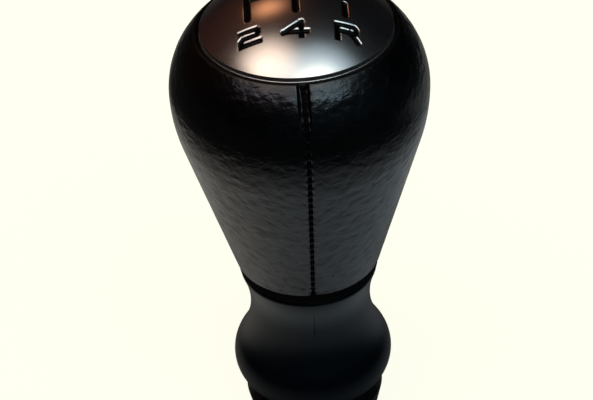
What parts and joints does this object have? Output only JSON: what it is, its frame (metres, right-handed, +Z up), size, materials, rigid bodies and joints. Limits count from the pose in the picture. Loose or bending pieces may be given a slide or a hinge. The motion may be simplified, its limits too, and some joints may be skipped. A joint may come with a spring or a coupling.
{
  "type": "gear shift knob",
  "caption": "Pear-shaped leather-wrapped gear shift knob with a domed satin metal cap that carries the shift pattern, over a black waisted collar with a bulb and a tapered base ring.",
  "frame": {"origin": "middle of the base ring's foot, on the axis of the gear lever", "axes": "+Z up along the lever towards the cap, -Y towards the driver, where the leather's seam is"},
  "size_m": [0.05, 0.05, 0.1053],
  "materials": {
    "satin_metal": "satin dark metal, engraved, with gloss black infill in the engraving",
    "black_leather": "smooth black leather with fine creases and a sewn seam",
    "core_plastic": "moulded, unfinished",
    "black_plastic": "satin black, smooth, with a moulding line",
    "sleeve_plastic": "natural moulded nylon",
    "spring_steel": "bare spring strip"
  },
  "bodies": {
    "root": {"pattern_cap": "satin_metal", "leather_cover": "black_leather", "grip_core": "core_plastic", "hem_ring": "black_plastic", "neck_collar": "black_plastic", "base_ring": "black_plastic", "lever_sleeve": "sleeve_plastic", "sleeve_spring": "spring_steel"}
  },
  "joints": []
}
